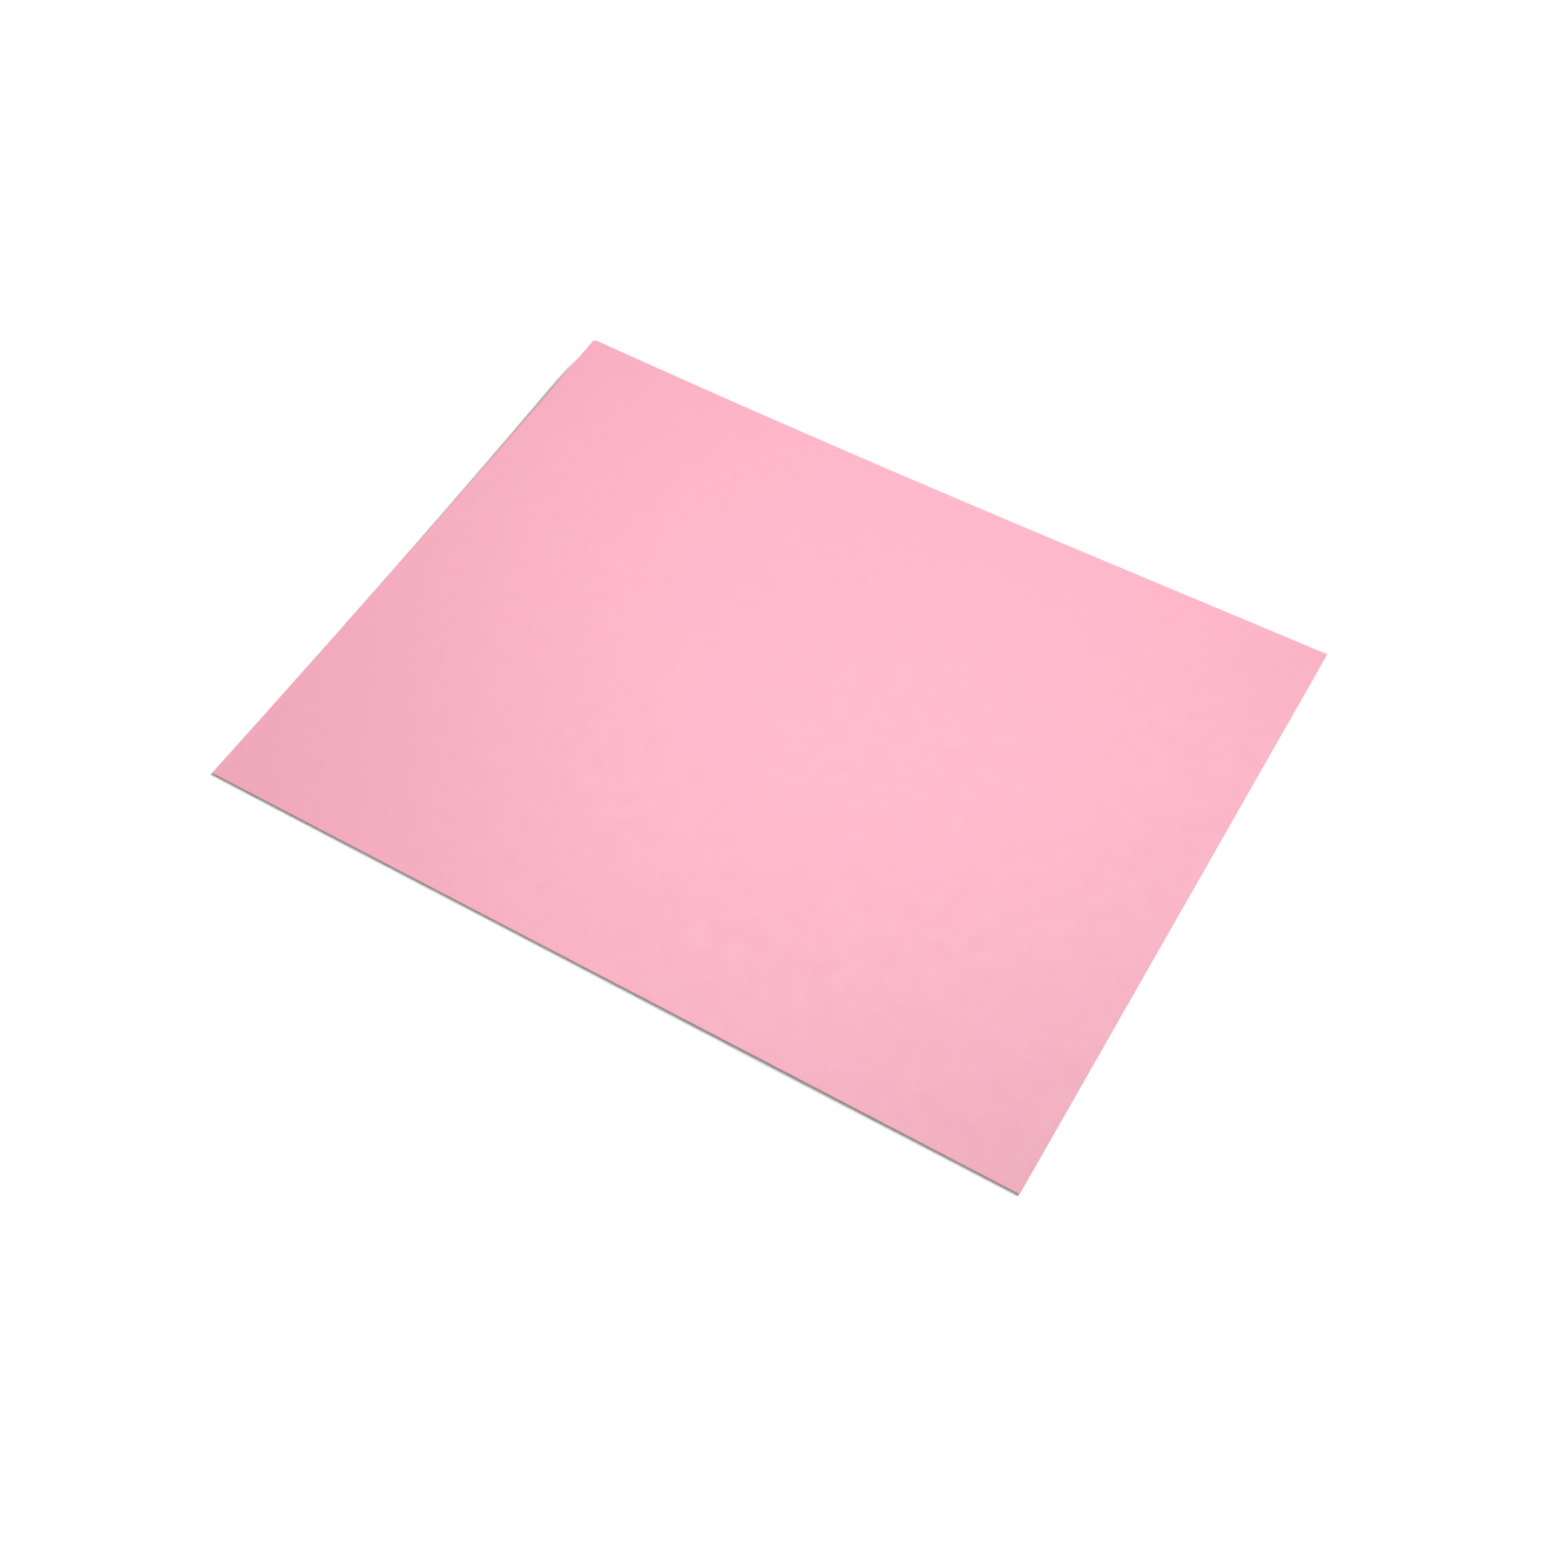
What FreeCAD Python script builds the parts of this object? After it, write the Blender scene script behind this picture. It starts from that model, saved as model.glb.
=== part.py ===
import FreeCAD, Part
import math
import os
import Sketcher

# A single sheet of craft card, lying face up with one corner curling off the table.
# Sizes are in millimetres. +X runs along the long side, +Y along the short side, +Z up.
# The origin is the middle of the sheet, on the surface that it lies on.

SIZES = [
    ("sheet_length", 650, "long side of the cut sheet"),
    ("sheet_width", 500, "short side of the cut sheet"),
    ("card_thickness", 0.26, "thickness of the single ply"),
    ("curl_heading", 137.5, "degrees from +X round to the way that the curl rises"),
    ("curl_reach", 308, "from the tip of the curled corner back to where the card lies flat"),
    ("curl_radius", 5460, "radius of the underside of the curled part"),
    ("trim_margin", 20, "how far the uncut web stands past the sheet on every side"),
]

NODE = "card_sheet"

# Half the sheet's extent along the curl's heading and across it, as sheet expressions.
HEADING = "Sizes.curl_heading * 1 deg"
HALF_ALONG = (
    f"(Sizes.sheet_length * abs(cos({HEADING})) + Sizes.sheet_width * abs(sin({HEADING}))) / 2"
)
HALF_ACROSS = (
    f"(Sizes.sheet_length * abs(sin({HEADING})) + Sizes.sheet_width * abs(cos({HEADING}))) / 2"
)
CURL_START = f"{HALF_ALONG} - Sizes.curl_reach"
WEB_END = f"{HALF_ALONG} + Sizes.trim_margin"

# Ends of a sketch element, as the Sketcher counts them.
START, END, CENTRE = 1, 2, 3
AXES, ORIGIN_POINT = -1, 1


def make_sizes(doc):
    """The driving dimensions: name, value and meaning, one to a row."""
    sheet = doc.addObject("Spreadsheet::Sheet", "Sizes")
    for row, (alias, value, meaning) in enumerate(SIZES, start=1):
        sheet.set(f"A{row}", alias)
        sheet.set(f"B{row}", str(value))
        sheet.set(f"C{row}", meaning)
        sheet.setAlias(f"B{row}", alias)
    doc.recompute()
    return sheet


def origin_plane(body, role):
    return [plane for plane in body.Origin.OriginFeatures if plane.Role == role][0]


def new_sketch(body, name, role):
    sketch = body.newObject("Sketcher::SketchObject", name)
    sketch.AttachmentSupport = (origin_plane(body, role), [""])
    sketch.MapMode = "FlatFace"
    return sketch


def bind(sketch, name, expression, *constraint):
    """Adds one driving constraint and ties it to the sheet of sizes."""
    index = sketch.addConstraint(Sketcher.Constraint(*constraint))
    sketch.renameConstraint(index, name)
    sketch.setExpression(f"Constraints.{name}", expression)


def join_ends(sketch, loop):
    """Closes a loop of elements, each given with the end it is left by and the end it is met at."""
    for (element, left_by, _), (following, _, met_at) in zip(loop, loop[1:] + loop[:1]):
        sketch.addConstraint(
            Sketcher.Constraint("Coincident", element, left_by, following, met_at)
        )


def add_web_profile(body, sizes):
    """The card seen edge-on, across the curl: a flat run, then one large tangent arc upwards."""
    sketch = new_sketch(body, "WebProfile", "XZ_Plane")
    sketch.AttachmentOffset = FreeCAD.Placement(
        FreeCAD.Vector(0, 0, 0), FreeCAD.Rotation(FreeCAD.Vector(0, 1, 0), sizes.curl_heading)
    )
    sketch.setExpression("AttachmentOffset.Rotation.Angle", "Sizes.curl_heading")

    # First shape of the sketch, close to where the constraints will settle it.
    heading = math.radians(sizes.curl_heading)
    half_along = (
        sizes.sheet_length * abs(math.cos(heading)) + sizes.sheet_width * abs(math.sin(heading))
    ) / 2
    bend = half_along - sizes.curl_reach
    back = -(half_along + sizes.trim_margin)
    front = half_along + sizes.trim_margin
    under = sizes.curl_radius
    over = sizes.curl_radius - sizes.card_thickness
    centre = FreeCAD.Vector(bend, under, 0)
    up = FreeCAD.Vector(0, 0, 1)

    def arc(radius):
        down = -math.pi / 2
        swing = math.asin((front - bend) / radius)
        return Part.ArcOfCircle(Part.Circle(centre, up, radius), down, down + swing)

    def at(x, y):
        return FreeCAD.Vector(x, y, 0)

    thickness = sizes.card_thickness
    under_arc = arc(under)
    over_arc = arc(over)
    outline = [
        Part.LineSegment(at(back, 0), at(bend, 0)),
        under_arc,
        Part.LineSegment(under_arc.EndPoint, over_arc.EndPoint),
        over_arc,
        Part.LineSegment(at(bend, thickness), at(back, thickness)),
        Part.LineSegment(at(back, thickness), at(back, 0)),
    ]
    flat_under, curl_under, front_end, curl_over, flat_over, back_end = sketch.addGeometry(outline)

    join_ends(
        sketch,
        [
            (flat_under, END, START),
            (curl_under, END, START),
            (front_end, END, START),
            (curl_over, START, END),
            (flat_over, END, START),
            (back_end, END, START),
        ],
    )
    sketch.addConstraint(Sketcher.Constraint("Horizontal", flat_under))
    sketch.addConstraint(Sketcher.Constraint("Horizontal", flat_over))
    sketch.addConstraint(Sketcher.Constraint("Vertical", front_end))
    sketch.addConstraint(Sketcher.Constraint("Vertical", back_end))
    sketch.addConstraint(Sketcher.Constraint("PointOnObject", flat_under, START, AXES))
    # Both arcs turn about one centre, straight above the line where the curl starts.
    sketch.addConstraint(Sketcher.Constraint("Coincident", curl_under, CENTRE, curl_over, CENTRE))
    sketch.addConstraint(Sketcher.Constraint("Vertical", curl_under, START, curl_under, CENTRE))
    sketch.addConstraint(Sketcher.Constraint("Vertical", curl_over, START, curl_over, CENTRE))

    bind(sketch, "curl_start", CURL_START, "DistanceX", AXES, ORIGIN_POINT, flat_under, END, bend)
    bind(sketch, "back", WEB_END, "DistanceX", flat_under, START, AXES, ORIGIN_POINT, -back)
    bind(sketch, "front", WEB_END, "DistanceX", AXES, ORIGIN_POINT, curl_under, END, front)
    bind(sketch, "under_radius", "Sizes.curl_radius", "Radius", curl_under, under)
    bind(
        sketch, "over_radius", "Sizes.curl_radius - Sizes.card_thickness", "Radius", curl_over, over
    )
    return sketch


def add_rectangle(sketch, name, length, width, long_expression, wide_expression):
    """A rectangle centred on the origin; its length lies along the sketch's first axis."""
    x = length / 2
    y = width / 2
    corners = [(-x, -y), (x, -y), (x, y), (-x, y)]
    points = [FreeCAD.Vector(a, b, 0) for a, b in corners]
    sides = [
        sketch.addGeometry(Part.LineSegment(points[i], points[(i + 1) % 4]), False)
        for i in range(4)
    ]
    join_ends(sketch, [(side, END, START) for side in sides])
    front, right, rear, left = sides
    for side in (front, rear):
        sketch.addConstraint(Sketcher.Constraint("Horizontal", side))
    for side in (right, left):
        sketch.addConstraint(Sketcher.Constraint("Vertical", side))
    sketch.addConstraint(
        Sketcher.Constraint("Symmetric", front, START, rear, START, AXES, ORIGIN_POINT)
    )
    bind(sketch, f"{name}_length", long_expression, "DistanceX", front, START, front, END, length)
    bind(sketch, f"{name}_width", wide_expression, "DistanceY", right, START, right, END, width)


def add_offcut_frame(body, sizes):
    """What the guillotine takes away: a square frame round the sheet, wider than the web."""
    sketch = new_sketch(body, "OffcutFrame", "XY_Plane")
    length = "Sizes.sheet_length"
    width = "Sizes.sheet_width"
    add_rectangle(sketch, "sheet", sizes.sheet_length, sizes.sheet_width, length, width)
    frame = 2 * (sizes.sheet_length + sizes.sheet_width)
    frame_side = f"2 * ({length} + {width})"
    add_rectangle(sketch, "frame", frame, frame, frame_side, frame_side)
    return sketch


def make_card(doc, sizes):
    """The web of card is bent first, then cut square on all four sides."""
    body = doc.addObject("PartDesign::Body", "CardSheet")
    body.Label = NODE

    web = body.newObject("PartDesign::Pad", "Web")
    web.Profile = add_web_profile(body, sizes)
    web.Type = "Length"
    web.SideType = "Symmetric"
    web.setExpression("Length", f"2 * ({HALF_ACROSS} + Sizes.trim_margin)")
    doc.recompute()
    web_volume = web.Shape.Volume

    cut = body.newObject("PartDesign::Pocket", "Guillotine")
    cut.Profile = add_offcut_frame(body, sizes)
    cut.Type = "ThroughAll"
    cut.SideType = "Symmetric"
    body.Tip = cut
    doc.recompute()
    print(f"web {web_volume:.0f} mm3, cut sheet {body.Shape.Volume:.0f} mm3")
    return body


def check_features(doc):
    faults = [
        obj.Name for obj in doc.Objects if "Invalid" in obj.State or "Error" in obj.State
    ]
    if faults:
        raise RuntimeError(f"features that failed: {', '.join(faults)}")


def check_card(body, sizes):
    """One valid solid, of the stated plan size, with the volume that its thickness gives."""
    shape = body.Shape
    if shape.isNull() or not shape.isValid() or len(shape.Solids) != 1:
        raise RuntimeError("the card is not one valid solid")
    box = shape.optimalBoundingBox(False)
    tolerance = 0.01
    if abs(box.XLength - sizes.sheet_length) > tolerance:
        raise RuntimeError(f"the sheet is {box.XLength} long")
    if abs(box.YLength - sizes.sheet_width) > tolerance:
        raise RuntimeError(f"the sheet is {box.YLength} wide")
    steepest = math.asin(sizes.curl_reach / sizes.curl_radius)
    flat_volume = sizes.sheet_length * sizes.sheet_width * sizes.card_thickness
    if not flat_volume <= shape.Volume <= flat_volume / math.cos(steepest):
        raise RuntimeError(f"the sheet's volume is {shape.Volume}, and flat it is {flat_volume}")
    print(f"{body.Label}: {box.XLength:.2f} x {box.YLength:.2f} mm in plan,")
    print(f"  curled corner {box.ZMax:.2f} mm above the table, lowest point {box.ZMin:.4f} mm,")
    print(f"  {shape.Volume:.0f} mm3, against {flat_volume:.0f} mm3 lying flat")


doc = FreeCAD.newDocument("CraftCard")
sizes = make_sizes(doc)
card = make_card(doc, sizes)
check_features(doc)
check_card(card, sizes)
os.makedirs("parts", exist_ok=True)
card.Shape.exportStep(f"parts/{card.Label}.step")
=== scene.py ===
import math

import bpy
import numpy as np
from mathutils import Matrix, Vector


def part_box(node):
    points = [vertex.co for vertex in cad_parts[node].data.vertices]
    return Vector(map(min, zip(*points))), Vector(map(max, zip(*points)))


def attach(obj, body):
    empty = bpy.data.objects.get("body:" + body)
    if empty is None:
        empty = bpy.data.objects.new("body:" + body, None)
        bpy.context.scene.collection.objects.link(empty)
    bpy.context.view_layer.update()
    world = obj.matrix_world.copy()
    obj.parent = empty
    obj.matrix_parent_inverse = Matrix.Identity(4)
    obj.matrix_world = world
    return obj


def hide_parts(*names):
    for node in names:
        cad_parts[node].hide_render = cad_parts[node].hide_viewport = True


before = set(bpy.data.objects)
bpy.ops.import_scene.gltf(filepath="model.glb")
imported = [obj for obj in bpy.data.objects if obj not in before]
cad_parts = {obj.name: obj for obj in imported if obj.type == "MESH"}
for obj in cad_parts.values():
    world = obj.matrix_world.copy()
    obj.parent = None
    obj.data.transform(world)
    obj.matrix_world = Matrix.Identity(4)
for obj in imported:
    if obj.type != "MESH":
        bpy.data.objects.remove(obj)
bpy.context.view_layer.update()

sheetLow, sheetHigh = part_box("card_sheet")
print("frame loaded: sheet", [round(high - low, 4) for low, high in zip(sheetLow, sheetHigh)])


def linkObject(name, data):
    piece = bpy.data.objects.new(name, data)
    bpy.context.scene.collection.objects.link(piece)
    return piece


def newMaterial(name):
    material = bpy.data.materials.new(name)
    material.use_nodes = True
    material.node_tree.nodes.clear()
    return material, material.node_tree


def addNode(tree, kind, place, **settings):
    node = tree.nodes.new(kind)
    node.location = place
    for key, value in settings.items():
        setattr(node, key, value)
    return node


def setInputs(node, values):
    for key, value in values.items():
        node.inputs[key].default_value = value


def smoothStep(x):
    x = np.clip(x, 0.0, 1.0)
    return x * x * (3.0 - 2.0 * x)


# The sheet of card. Its mesh is a grid of rows, close together at the four cuts.
sheet = {
    "length": sheetHigh.x - sheetLow.x,
    "width": sheetHigh.y - sheetLow.y,
    "thickness": 0.00026,
    "cell": 0.005,  # spacing of the rows over the open sheet
    # Rows beside each cut, by their distance from it.
    "rim": (0.0, 0.00002, 0.00005, 0.0001, 0.0002, 0.0004, 0.0007, 0.0011, 0.0016, 0.0023),
    "topRound": 0.00006,  # the blade presses the upper edge over
    "underRound": 0.00004,
    "pressedWidth": 0.0005,  # and leaves the card a little thinner beside it
    "pressedDepth": 0.00006,
    "tipRound": 0.0026,  # the curled corner's tip is knocked blunt
    "curlHeading": math.radians(137.5),  # the curl is the CAD sheet's own
    "curlReach": 0.308,
    "curlRadius": 5.46,
    "edgeLift": 0.0004,  # the left and the front edge ride a hair off the table
    "edgeLiftReach": 0.045,
    "cockle": 0.00012,  # slow waves that damp air leaves in card
    "cockleWaves": ((17.0, 6.0, 0.6), (9.0, -21.0, 2.1)),  # radians a metre along x and y, start
}


# Places of the rows from one cut to the other.
def rowPlaces(size):
    rim = np.array(sheet["rim"])
    inner = size - 2 * rim[-1]
    count = max(2, round(inner / sheet["cell"]))
    middle = np.linspace(rim[-1], size - rim[-1], count + 1)
    return np.concatenate([rim[:-1], middle, size - rim[:-1][::-1]]) - size / 2


# How far a face drops at a rounded edge.
def roundOff(toCut, radius):
    near = np.clip(radius - toCut, 0.0, radius)
    return radius - np.sqrt(radius * radius - near * near)


def pressedDown(toCut):
    return sheet["pressedDepth"] * np.clip(1 - toCut / sheet["pressedWidth"], 0, 1) ** 2


# Squares round the curled corner turn into arcs, so that the tip is blunt.
def bluntTip(x, y):
    alongX = x + sheet["length"] / 2 - sheet["tipRound"]
    alongY = y - sheet["width"] / 2 + sheet["tipRound"]
    left = np.clip(-alongX, 0.0, None)
    rear = np.clip(alongY, 0.0, None)
    across = np.maximum(np.hypot(left, rear), 1e-12)  # never nought, to divide by
    keep = np.where((left > 0) & (rear > 0), np.maximum(left, rear) / across, 1.0)
    x = np.where(left > 0, x + left * (1 - keep), x)
    y = np.where(rear > 0, y - rear * (1 - keep), y)
    return x, y


# How far a place on the flat card is beyond the line where the corner's curl starts.
def pastCurl(x, y):
    alongX = math.cos(sheet["curlHeading"])
    alongY = math.sin(sheet["curlHeading"])
    tip = abs(alongX) * sheet["length"] / 2 + abs(alongY) * sheet["width"] / 2
    return np.maximum(x * alongX + y * alongY - tip + sheet["curlReach"], 0.0)


# Height of the resting card over the table. It dies away towards the tip of the curl.
def layOf(x, y):
    left = x + sheet["length"] / 2
    front = y + sheet["width"] / 2
    rise = np.zeros_like(x)
    for toEdge in (left, front):
        rise = np.maximum(rise, np.clip(1 - toEdge / sheet["edgeLiftReach"], 0, 1) ** 2)
    waves = [np.sin(turnX * x + turnY * y + start) for turnX, turnY, start in sheet["cockleWaves"]]
    cockle = sheet["cockle"] * (1.0 + sum(waves) / len(waves)) / 2  # from nought to its full height
    resting = 1.0 - smoothStep(pastCurl(x, y) / sheet["curlReach"])
    return (sheet["edgeLift"] * rise + cockle) * resting


# Rolls the flat card onto the curl's cylinder, beyond the line where the curl starts.
def bendCorner(x, y, z):
    past = pastCurl(x, y)
    angle = past / sheet["curlRadius"]
    drawnIn = (sheet["curlRadius"] - z) * np.sin(angle) - past
    x = x + drawnIn * math.cos(sheet["curlHeading"])
    y = y + drawnIn * math.sin(sheet["curlHeading"])
    z = sheet["curlRadius"] - (sheet["curlRadius"] - z) * np.cos(angle)
    return np.stack([x, y, z], axis=-1)


def makeSheet():
    x, y = np.meshgrid(rowPlaces(sheet["length"]), rowPlaces(sheet["width"]), indexing="ij")
    toCut = np.minimum(sheet["length"] / 2 - np.abs(x), sheet["width"] / 2 - np.abs(y))
    toCut = np.maximum(toCut, 0.0)
    x, y = bluntTip(x, y)
    lay = layOf(x, y)
    drop = roundOff(toCut, sheet["topRound"]) + pressedDown(toCut)
    top = bendCorner(x, y, lay + sheet["thickness"] - drop)
    under = bendCorner(x, y, lay + roundOff(toCut, sheet["underRound"]))

    columns, rows = x.shape
    points = np.concatenate([top.reshape(-1, 3), under.reshape(-1, 3)])
    index = np.arange(columns * rows).reshape(columns, rows)
    below = index + columns * rows
    faces = []
    for i in range(columns - 1):
        for j in range(rows - 1):
            faces.append((index[i, j], index[i + 1, j], index[i + 1, j + 1], index[i, j + 1]))
            faces.append((below[i, j], below[i, j + 1], below[i + 1, j + 1], below[i + 1, j]))
    border = [(i, 0) for i in range(columns - 1)]
    border += [(columns - 1, j) for j in range(rows - 1)]
    border += [(i, rows - 1) for i in range(columns - 1, 0, -1)]
    border += [(0, j) for j in range(rows - 1, 0, -1)]
    for here, after in zip(border, border[1:] + border[:1]):
        faces.append((index[here], below[here], below[after], index[after]))

    mesh = bpy.data.meshes.new("cardSheet")
    mesh.from_pydata(points.tolist(), [], [tuple(int(v) for v in face) for face in faces])
    mesh.update()
    mesh.polygons.foreach_set("use_smooth", [True] * len(mesh.polygons))
    # The painted edge shade in the finish needs to know how near the cut it is.
    distance = mesh.attributes.new("toCut", "FLOAT", "POINT")
    distance.data.foreach_set("value", np.tile(toCut.reshape(-1), 2).astype(np.float32))
    return linkObject("cardSheet", mesh)


# Card dyed right through: a soft matt face, faint clouds in the pulp, short fibres, and painted
# shade along the cuts.
cardStock = {
    "colour": (0.868, 0.392, 0.494, 1.0),
    "deeper": (0.855, 0.373, 0.475, 1.0),
    "pulpRange": (0.35, 0.65),  # the noise's values at the thin spots and at the thick ones
    "roughness": (0.43, 0.37),  # from the thin spots to the thick ones
    "specular": 0.5,
    "ior": 1.5,
    "cloud": {"Scale": 55.0, "Detail": 4.0, "Roughness": 0.6},  # how evenly the pulp settled
    "grain": {"Scale": 900.0, "Detail": 3.0, "Roughness": 0.65},
    "tooth": {"Scale": 1500.0, "Detail": 3.0, "Roughness": 0.6},
    "toothHeight": 0.000035,
    "streak": {"Scale": 1.0, "Detail": 1.0, "Roughness": 0.5, "Distortion": 0.6},
    "fibreHeadings": (12.0, 74.0, 131.0),  # degrees from +X
    "fibreShift": (0.37, 0.21),  # from one heading's layer to the next, so that none repeats
    "fibreLength": 0.0022,
    "fibreWidth": 0.00009,
    "fibreHeight": 0.00001,
    "fibreCrests": (0.66, 0.74),  # only the crests of the streaks show as fibres
    "fibreTint": (0.800, 0.325, 0.430, 1.0),
    "edgeShadeWidth": 0.0006,  # painted shade along the cut, darkest at it and fading inwards; the blade also packs the fibres there a little
    "edgeShadeTint": (0.520, 0.235, 0.290, 1.0),
    "edgeShadeStrength": 0.12,
}


def noiseNode(tree, place, source, noiseSettings):
    noise = addNode(tree, "ShaderNodeTexNoise", place)
    setInputs(noise, noiseSettings)
    tree.links.new(source, noise.inputs["Vector"])
    return noise.outputs["Fac"]


def mathNode(tree, place, operation, first, second):
    node = addNode(tree, "ShaderNodeMath", place, operation=operation)
    for socket, value in zip(node.inputs, (first, second)):
        if isinstance(value, float):
            socket.default_value = value
        else:
            tree.links.new(value, socket)
    return node.outputs["Value"]


def colourMix(tree, place, factor, first, second):
    node = addNode(tree, "ShaderNodeMix", place, data_type="RGBA")
    factorSocket, firstSocket, secondSocket = (
        socket for socket in node.inputs
        if socket.name in ("Factor", "A", "B") and socket.enabled
    )
    for socket, value in ((factorSocket, factor), (firstSocket, first), (secondSocket, second)):
        if isinstance(value, (float, tuple)):
            socket.default_value = value
        else:
            tree.links.new(value, socket)
    return next(socket for socket in node.outputs if socket.enabled)


# Hair-like streaks: noise that is stretched along each heading, with only its crests kept.
def fibreLayers(tree, source):
    total = None
    shiftX, shiftY = cardStock["fibreShift"]
    crestLow, crestHigh = cardStock["fibreCrests"]
    for step, heading in enumerate(cardStock["fibreHeadings"]):
        down = -600 - 260 * step
        turn = addNode(tree, "ShaderNodeMapping", (-1500, down), vector_type="TEXTURE")
        setInputs(turn, {
            "Location": (shiftX * step, shiftY * step, 0.0),
            "Rotation": (0.0, 0.0, math.radians(heading)),
            "Scale": (cardStock["fibreLength"], cardStock["fibreWidth"], 1.0),
        })
        tree.links.new(source, turn.inputs["Vector"])
        streaks = noiseNode(tree, (-1250, down), turn.outputs["Vector"], cardStock["streak"])
        crest = addNode(tree, "ShaderNodeMapRange", (-1000, down))
        setInputs(crest, {"From Min": crestLow, "From Max": crestHigh})
        tree.links.new(streaks, crest.inputs["Value"])
        layer = crest.outputs["Result"]
        total = layer if total is None else mathNode(tree, (-800, down), "MAXIMUM", total, layer)
    return total


def makeCardStock():
    material, tree = newMaterial("dyedCard")
    link = tree.links.new
    place = addNode(tree, "ShaderNodeTexCoord", (-1800, 0)).outputs["Object"]

    cloud = noiseNode(tree, (-1250, 300), place, cardStock["cloud"])
    grain = noiseNode(tree, (-1250, 0), place, cardStock["grain"])
    both = mathNode(tree, (-1000, 150), "ADD", cloud, grain)
    blend = mathNode(tree, (-800, 150), "MULTIPLY", both, 0.5)
    shades = addNode(tree, "ShaderNodeValToRGB", (-600, 150))
    thin, thick = cardStock["pulpRange"]
    shades.color_ramp.elements[0].position = thin
    shades.color_ramp.elements[0].color = cardStock["deeper"]
    shades.color_ramp.elements[1].position = thick
    shades.color_ramp.elements[1].color = cardStock["colour"]
    link(blend, shades.inputs["Fac"])

    fibres = fibreLayers(tree, place)
    shaded = shades.outputs["Color"]
    flecked = colourMix(tree, (-250, 100), fibres, shaded, cardStock["fibreTint"])

    # The painted edge shade fades out from the cut, and the clouds, a half on average, make it
    # uneven.
    toCut = addNode(tree, "ShaderNodeAttribute", (-1250, 600), attribute_name="toCut")
    fade = addNode(tree, "ShaderNodeMapRange", (-1000, 600))
    setInputs(fade, {
        "From Max": cardStock["edgeShadeWidth"],
        "To Min": cardStock["edgeShadeStrength"],
        "To Max": 0.0,
    })
    link(toCut.outputs["Fac"], fade.inputs["Value"])
    uneven = mathNode(tree, (-1000, 380), "ADD", cloud, 0.5)
    edgeShadeShare = mathNode(tree, (-800, 500), "MULTIPLY", fade.outputs["Result"], uneven)
    # Mixes the painted edge shade into the card's colour.
    coloured = colourMix(tree, (-50, 200), edgeShadeShare, flecked, cardStock["edgeShadeTint"])

    # Where the pulp is thick the rollers press it smoother.
    polish = addNode(tree, "ShaderNodeMapRange", (-450, 400))
    roughest, smoothest = cardStock["roughness"]
    setInputs(polish, {
        "From Min": thin,
        "From Max": thick,
        "To Min": roughest,
        "To Max": smoothest,
    })
    link(cloud, polish.inputs["Value"])

    tooth = noiseNode(tree, (-1250, -300), place, cardStock["tooth"])
    fineBump = addNode(tree, "ShaderNodeBump", (-250, -350))
    setInputs(fineBump, {"Strength": 1.0, "Distance": cardStock["toothHeight"]})
    link(tooth, fineBump.inputs["Height"])
    fibreBump = addNode(tree, "ShaderNodeBump", (-50, -350))
    setInputs(fibreBump, {"Strength": 1.0, "Distance": cardStock["fibreHeight"]})
    link(fibres, fibreBump.inputs["Height"])
    link(fineBump.outputs["Normal"], fibreBump.inputs["Normal"])

    card = addNode(tree, "ShaderNodeBsdfPrincipled", (200, 0))
    setInputs(card, {"Specular IOR Level": cardStock["specular"], "IOR": cardStock["ior"]})
    link(coloured, card.inputs["Base Color"])
    link(polish.outputs["Result"], card.inputs["Roughness"])
    link(fibreBump.outputs["Normal"], card.inputs["Normal"])
    out = addNode(tree, "ShaderNodeOutputMaterial", (500, 0))
    link(card.outputs["BSDF"], out.inputs["Surface"])
    return material


# A white floor that runs on past the view, under a sky that is bright low down.
studio = {
    "floorSize": 40.0,
    "floorColour": (0.94, 0.94, 0.94, 1.0),
    "skyLow": 1.04,
    "skyHigh": 0.117,
    "skyTurns": (18.0, 35.0),  # degrees up, between which the sky darkens
}


def makeFloor():
    half = studio["floorSize"] / 2
    corners = [(-half, -half, 0), (half, -half, 0), (half, half, 0), (-half, half, 0)]
    mesh = bpy.data.meshes.new("studioFloor")
    mesh.from_pydata(corners, [], [(0, 1, 2, 3)])
    floor = linkObject("studioFloor", mesh)
    material, tree = newMaterial("whiteFloor")
    surface = addNode(tree, "ShaderNodeBsdfDiffuse", (0, 0))
    surface.inputs["Color"].default_value = studio["floorColour"]
    out = addNode(tree, "ShaderNodeOutputMaterial", (300, 0))
    tree.links.new(surface.outputs["BSDF"], out.inputs["Surface"])
    mesh.materials.append(material)
    return floor


def makeSky():
    world = bpy.data.worlds.new("studioSky")
    bpy.context.scene.world = world
    world.use_nodes = True
    tree = world.node_tree
    tree.nodes.clear()
    link = tree.links.new
    place = addNode(tree, "ShaderNodeTexCoord", (-800, 0))
    split = addNode(tree, "ShaderNodeSeparateXYZ", (-600, 0))
    link(place.outputs["Generated"], split.inputs["Vector"])
    ramp = addNode(tree, "ShaderNodeValToRGB", (-400, 0))
    ramp.color_ramp.interpolation = "EASE"
    shades = (studio["skyLow"], studio["skyHigh"])
    for stop, turn, shade in zip(ramp.color_ramp.elements, studio["skyTurns"], shades):
        stop.position = math.sin(math.radians(turn))
        stop.color = (shade, shade, shade, 1.0)
    link(split.outputs["Z"], ramp.inputs["Fac"])
    sky = addNode(tree, "ShaderNodeBackground", (-100, 0))
    link(ramp.outputs["Color"], sky.inputs["Color"])
    out = addNode(tree, "ShaderNodeOutputWorld", (100, 0))
    link(sky.outputs["Background"], out.inputs["Surface"])


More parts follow.
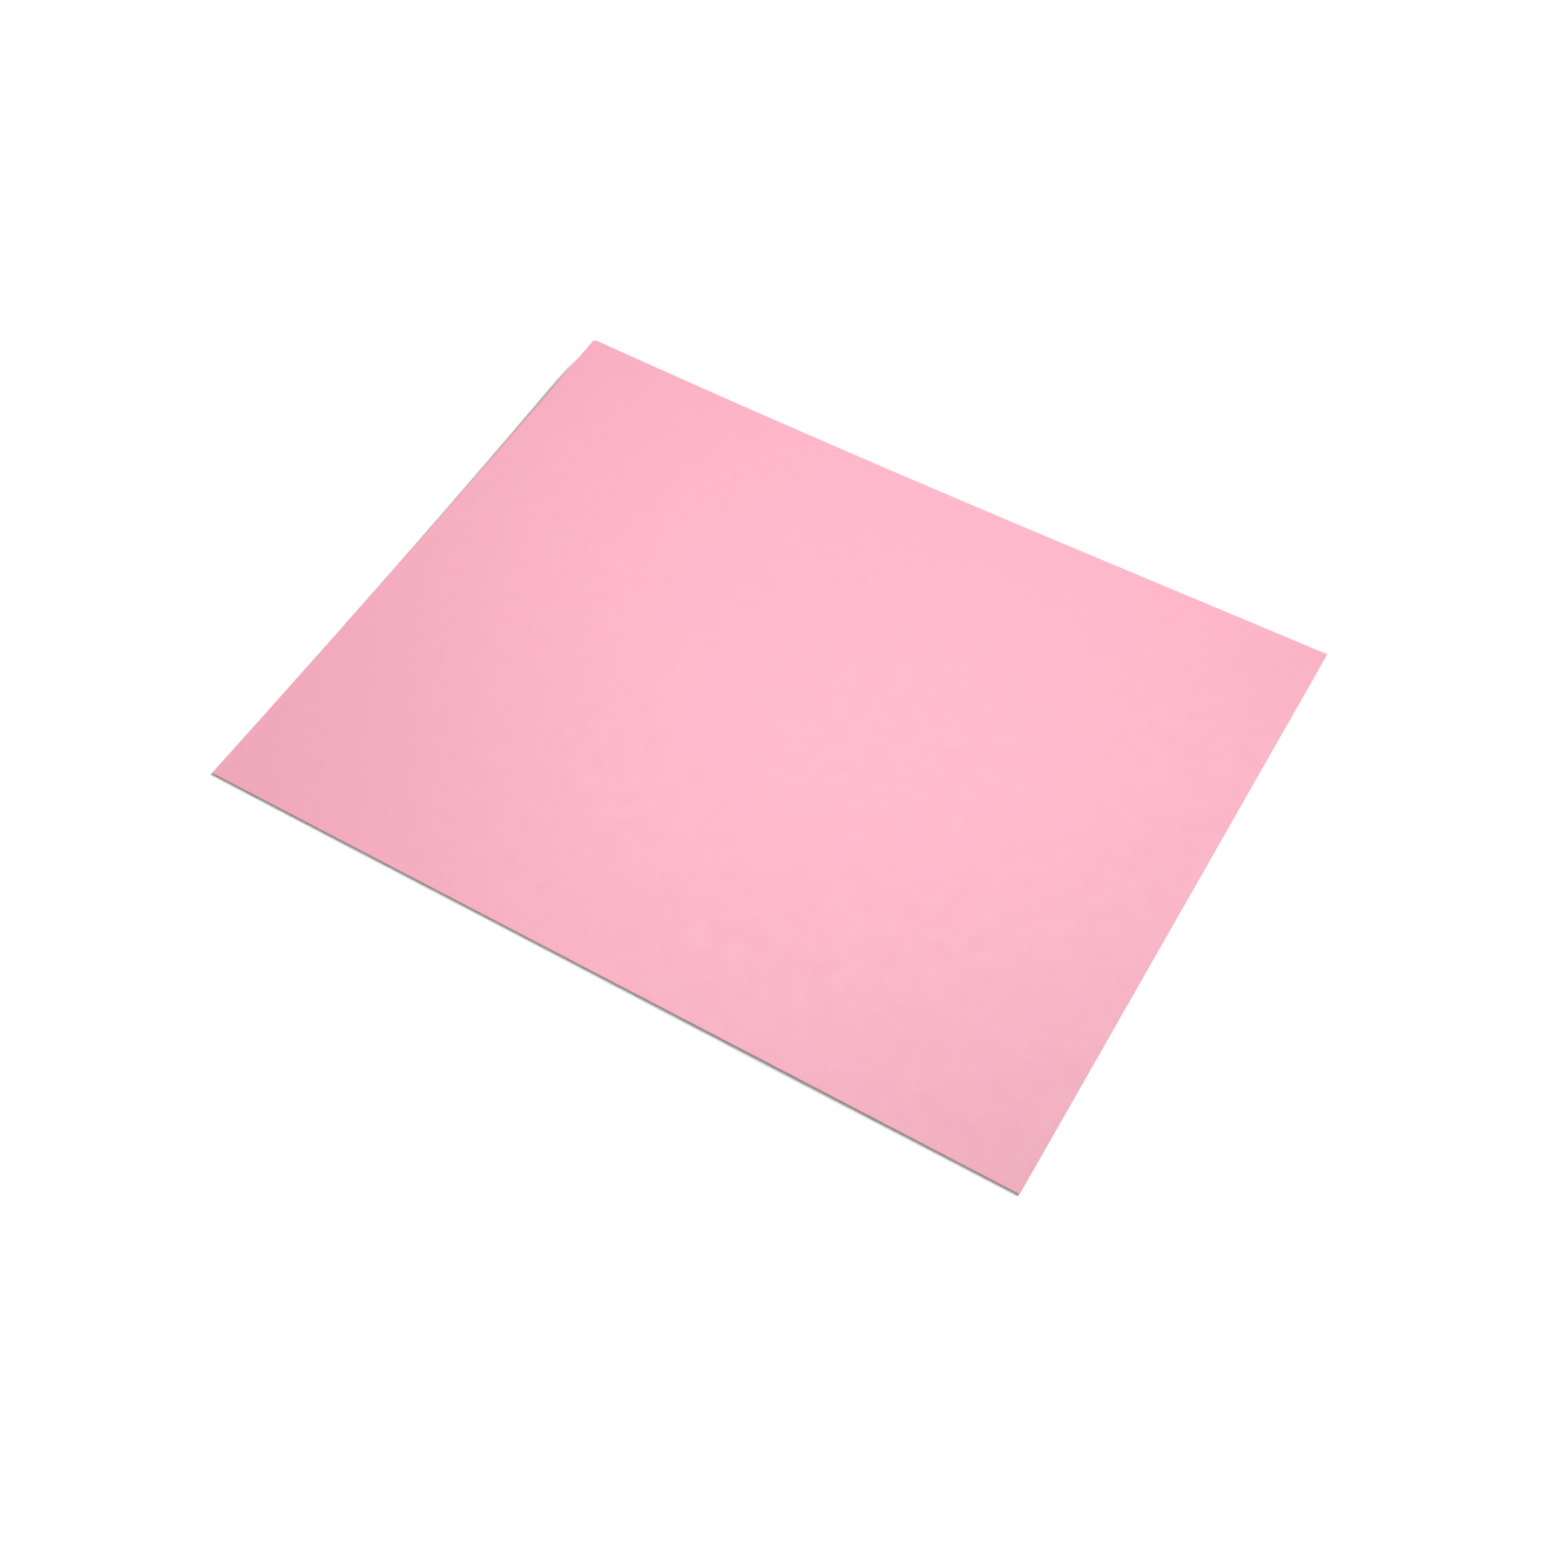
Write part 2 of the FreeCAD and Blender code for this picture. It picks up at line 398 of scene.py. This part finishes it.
# Two softboxes light the card: the main one over its far edge, and a weaker one in front.
softboxes = {
    "rearSoftbox": {
        "place": (0.04, 0.30, 0.817),
        "aim": (0.0975, 0.125, 0.0),
        "size": (1.02, 0.78),
        "power": 7.56,
        "glare": True,
    },
    "frontSoftbox": {
        "place": (-0.33, -0.84, 0.554),
        "aim": (0.0, 0.0, 0.0),
        "size": (1.2, 1.2),
        "power": 4.885,
        "glare": False,  # it leaves no sheen on the card, as behind crossed polarisers
    },
}

# Distant lights keep the floor white. Behind the card stands a tall strip of light, given as a
# few suns one above the other. It leaves a thin shadow, dark at the card and soft further out,
# along the front edge, and a finer one along the left edge. A weak wash from the front thins both.
# Headings and heights are degrees, and headings turn from +Y towards +X.
floorLights = {
    "rearStrip": {"heights": (11.5, 16.0, 21.0, 26.0), "lean": 0.80, "spread": 6.0, "light": 2.7},
    "frontWash": {"heights": (50.0,), "heading": 200.0, "spread": 20.0, "light": 0.20},
}


def aimAt(light, place, target):
    light.location = place
    direction = Vector(target) - Vector(place)
    light.rotation_euler = direction.to_track_quat("-Z", "Y").to_euler()


# The light falls on this piece alone, and everything still casts its shadow.
def lightOnly(light, piece):
    receivers = bpy.data.collections.new(light.name + "Receivers")
    receivers.objects.link(piece)
    light.light_linking.receiver_collection = receivers


def makeSoftbox(name, card):
    setting = softboxes[name]
    data = bpy.data.lights.new(name, "AREA")
    data.shape = "RECTANGLE"
    data.size, data.size_y = setting["size"]
    data.energy = setting["power"]
    light = linkObject(name, data)
    aimAt(light, setting["place"], setting["aim"])
    light.visible_camera = False
    light.visible_glossy = setting["glare"]
    lightOnly(light, card)


# "light" is what the whole fixture sheds on the floor, shared equally among its suns. With a
# "lean", each sun stands to the right by that share of its height, so the shadows that the left
# edge throws all end on one line.
def makeFloorLight(name, floor):
    setting = floorLights[name]
    share = setting["light"] / len(setting["heights"])
    for degrees in setting["heights"]:
        height = math.radians(degrees)
        if "lean" in setting:
            heading = math.asin(setting["lean"] * math.tan(height))
        else:
            heading = math.radians(setting["heading"])
        data = bpy.data.lights.new(name, "SUN")
        data.energy = share / math.sin(height)
        data.angle = math.radians(setting["spread"])
        light = linkObject(name, data)
        level = math.cos(height)
        towards = (math.sin(heading) * level, math.cos(heading) * level, math.sin(height))
        aimAt(light, towards, (0, 0, 0))
        lightOnly(light, floor)


# The camera looks down on the sheet from beyond its front right corner.
view = {
    "heading": 31.67,  # degrees round from -Y towards +X
    "height": 55.04,
    "roll": 1.35,
    "distance": 1.571,
    "target": (0.0358, -0.0524, 0.0),
    "lens": 50.54,
    "sensor": 36.0,
    "clip": (0.01, 100.0),
}


def makeCamera():
    heading = math.radians(view["heading"])
    height = math.radians(view["height"])
    level = math.cos(height)
    back = Vector((math.sin(heading) * level, -math.cos(heading) * level, math.sin(height)))
    turn = Matrix.Rotation(-math.radians(view["roll"]), 3, back)
    right = turn @ Vector((0, 0, 1)).cross(back).normalized()
    up = back.cross(right)
    data = bpy.data.cameras.new("studioCamera")
    data.lens = view["lens"]
    data.sensor_width = view["sensor"]
    data.clip_start, data.clip_end = view["clip"]
    camera = linkObject("studioCamera", data)
    place = Vector(view["target"]) + back * view["distance"]
    axes = Matrix((right, up, back)).transposed().to_4x4()
    camera.matrix_world = Matrix.Translation(place) @ axes
    bpy.context.scene.camera = camera


card = makeSheet()
card.data.materials.append(makeCardStock())
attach(card, "root")
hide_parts("card_sheet")
print("card sheet made:", len(card.data.polygons), "faces")

floor = makeFloor()
makeSky()
for name in softboxes:
    makeSoftbox(name, card)
for name in floorLights:
    makeFloorLight(name, floor)
makeCamera()
bpy.context.scene.view_settings.view_transform = "Standard"
print("studio set:", len(softboxes), "softboxes and", len(floorLights), "floor lights")
